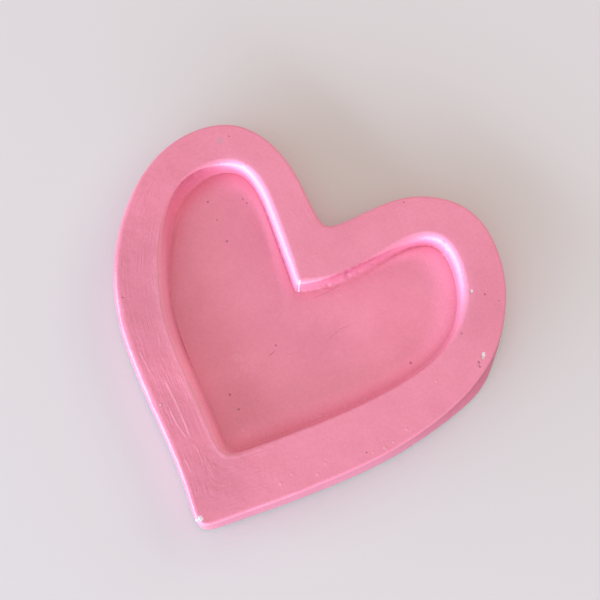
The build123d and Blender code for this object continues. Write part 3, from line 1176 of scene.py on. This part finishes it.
class DISH_OT_pads(bpy.types.Operator):
    """Builds the felt pads in the places of the CAD pads"""

    bl_idname = "dish.pads"
    bl_label = "Felt Pads"

    def execute(self, context):
        sizes = context.scene.dish_pads
        finish = felt(sizes)
        for seed, node in enumerate(PAD_NODES):
            name = node.replace("foot", "felt")
            mesh = grid_mesh(name, *self.pad_grid(node, sizes, seed))
            piece = add_piece(name, mesh, finish, node)
        return {"FINISHED"}

    def pad_grid(self, node, sizes, seed):
        """A disc as a turned section: out along the bottom, round the edge and in along the top.

        Each place is the section's reach times the cosine and sine of its turn, moved along its
        normal by random fibres. The pair of distances for its UV map comes with it."""
        low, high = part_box(node)
        middle = (low + high) / 2
        radius, thick = (high.x - low.x) / 2, high.z - low.z
        edge = sizes.edge_rounding
        turn = np.linspace(0, 2 * np.pi, PAD_COLUMNS, endpoint=False)
        quarter = np.linspace(0, np.pi / 2, PAD_RINGS["edge"])
        flat = np.linspace(PAD_POLE, 1, PAD_RINGS["flat"], endpoint=False) * (radius - edge)
        wall = np.linspace(edge, thick - edge, PAD_RINGS["wall"])[1:-1]
        reach = np.concatenate([flat, radius - edge + edge * np.sin(quarter),
                                np.full(len(wall), radius),
                                radius - edge + edge * np.cos(quarter), flat[::-1]])
        rise = np.concatenate([0 * flat, edge * (1 - np.cos(quarter)), wall,
                               thick - edge + edge * np.sin(quarter), 0 * flat + thick])
        grid = np.stack([middle.x + reach[:, None] * np.cos(-turn),
                         middle.y + reach[:, None] * np.sin(-turn),
                         low.z + rise[:, None] + 0 * turn], axis=-1)
        fuzz = 0.6 * waves(grid, 0.9 * MM, 20 + seed) + 0.4 * waves(grid, 3 * MM, 40 + seed)
        grid = grid + grid_normals(grid) * (sizes.fibre_relief * (fuzz - 1.5))[..., None]
        grid = np.clip(grid, low, high)
        return grid, (turn * radius, np.cumsum(np.full(len(reach), 0.3 * MM)))


class DISH_OT_stage(bpy.types.Operator):
    """Sets up the plain floor, the soft lights and the camera"""

    bl_idname = "dish.stage"
    bl_label = "Stage"

    def execute(self, context):
        settings = context.scene.dish_stage
        self.add_floor(settings)
        self.add_world(context.scene, settings)
        self.add_light("window", (settings.window_width, settings.window_rise), settings.window_power,
                       settings.window_colour, settings.window_azimuth, settings.window_height)
        fill = self.add_light("fill", (settings.fill_width, settings.fill_rise), settings.fill_power,
                              (1, 1, 1), settings.fill_azimuth, settings.fill_height)
        fill.visible_glossy = False
        self.add_camera(context.scene, settings)
        context.scene.view_settings.view_transform = "Standard"
        return {"FINISHED"}

    def add_floor(self, settings):
        """A wide square under the dish."""
        mesh = bpy.data.meshes.new("floor")
        corners = [(-1, -1), (1, -1), (1, 1), (-1, 1)]
        places = [(x * FLOOR_REACH, y * FLOOR_REACH, cad_box[0].z) for x, y in corners]
        mesh.from_pydata(places, [], [(0, 1, 2, 3)])
        mesh.materials.append(plain("floor", settings.floor, 0.8))
        floor = add_object("floor", mesh)

    def add_world(self, scene, settings):
        """Even light from all round, and a pale backdrop that only the camera sees."""
        world = bpy.data.worlds.new("studio")
        world.use_nodes = True
        tree = world.node_tree
        light = tree.nodes["Background"]
        light.inputs["Color"].default_value = (*settings.ambient_colour, 1)
        light.inputs["Strength"].default_value = settings.ambient
        backdrop = tree.nodes.new("ShaderNodeBackground")
        backdrop.inputs["Color"].default_value = (*BACKDROP, 1)
        path = tree.nodes.new("ShaderNodeLightPath")
        seen = tree.nodes.new("ShaderNodeMixShader")
        tree.links.new(path.outputs["Is Camera Ray"], seen.inputs[0])
        tree.links.new(light.outputs[0], seen.inputs[1])
        tree.links.new(backdrop.outputs[0], seen.inputs[2])
        tree.links.new(seen.outputs[0], tree.nodes["World Output"].inputs["Surface"])
        scene.world = world

    def add_light(self, name, size, power, colour, azimuth, height):
        """A soft light of this width and rise that faces the dish."""
        lamp = bpy.data.lights.new(name, "AREA")
        lamp.shape = "RECTANGLE"
        lamp.size, lamp.size_y = size
        lamp.energy = power
        lamp.color = colour
        light = add_object(name, lamp)
        level = math.cos(height)
        towards = Vector((math.cos(azimuth) * level, math.sin(azimuth) * level, math.sin(height)))
        light.location = towards * LIGHT_DISTANCE
        light.rotation_euler = (-towards).to_track_quat("-Z", "Y").to_euler()
        return light

    def add_camera(self, scene, settings):
        """A camera that looks down at a place near the middle of the rim."""
        data = bpy.data.cameras.new("camera")
        data.lens = settings.lens
        data.sensor_width = SENSOR_WIDTH
        data.clip_start, data.clip_end = 0.01, 20
        camera = add_object("camera", data)
        middle = (cad_box[0] + cad_box[1]) / 2
        aim = Vector((middle.x + settings.aim_right, middle.y + settings.aim_back, cad_box[1].z))
        level = math.cos(settings.elevation)
        back = Vector((math.sin(settings.azimuth) * level, -math.cos(settings.azimuth) * level,
                       math.sin(settings.elevation)))
        camera.location = aim + back * settings.distance
        camera.rotation_euler = (-back).to_track_quat("-Z", "Y").to_euler()
        scene.camera = camera


# Each step's operator, its settings and their name on the scene
STEPS = (
    (DISH_OT_casting, CastingSettings, "dish_casting"),
    (DISH_OT_pads, PadSettings, "dish_pads"),
    (DISH_OT_stage, StageSettings, "dish_stage"),
)


class DISH_PT_panel(bpy.types.Panel):
    """Lists the steps that finish the dish, each with its sizes and colours"""

    bl_label = "Heart Dish"
    bl_idname = "DISH_PT_panel"
    bl_space_type = "VIEW_3D"
    bl_region_type = "UI"
    bl_category = "Heart Dish"

    def draw(self, context):
        for step, settings, name in STEPS:
            self.layout.operator(step.bl_idname)
            for size in settings.__annotations__:
                self.layout.prop(getattr(context.scene, name), size)


def register():
    for step, settings, name in STEPS:
        bpy.utils.register_class(settings)
        bpy.utils.register_class(step)
        setattr(bpy.types.Scene, name, PointerProperty(type=settings))
    bpy.utils.register_class(DISH_PT_panel)


def unregister():
    bpy.utils.unregister_class(DISH_PT_panel)
    for step, settings, name in reversed(STEPS):
        delattr(bpy.types.Scene, name)
        bpy.utils.unregister_class(step)
        bpy.utils.unregister_class(settings)


def main():
    register()
    bpy.ops.dish.casting()
    bpy.ops.dish.pads()
    bpy.ops.dish.stage()


if __name__ == "__main__":
    main()
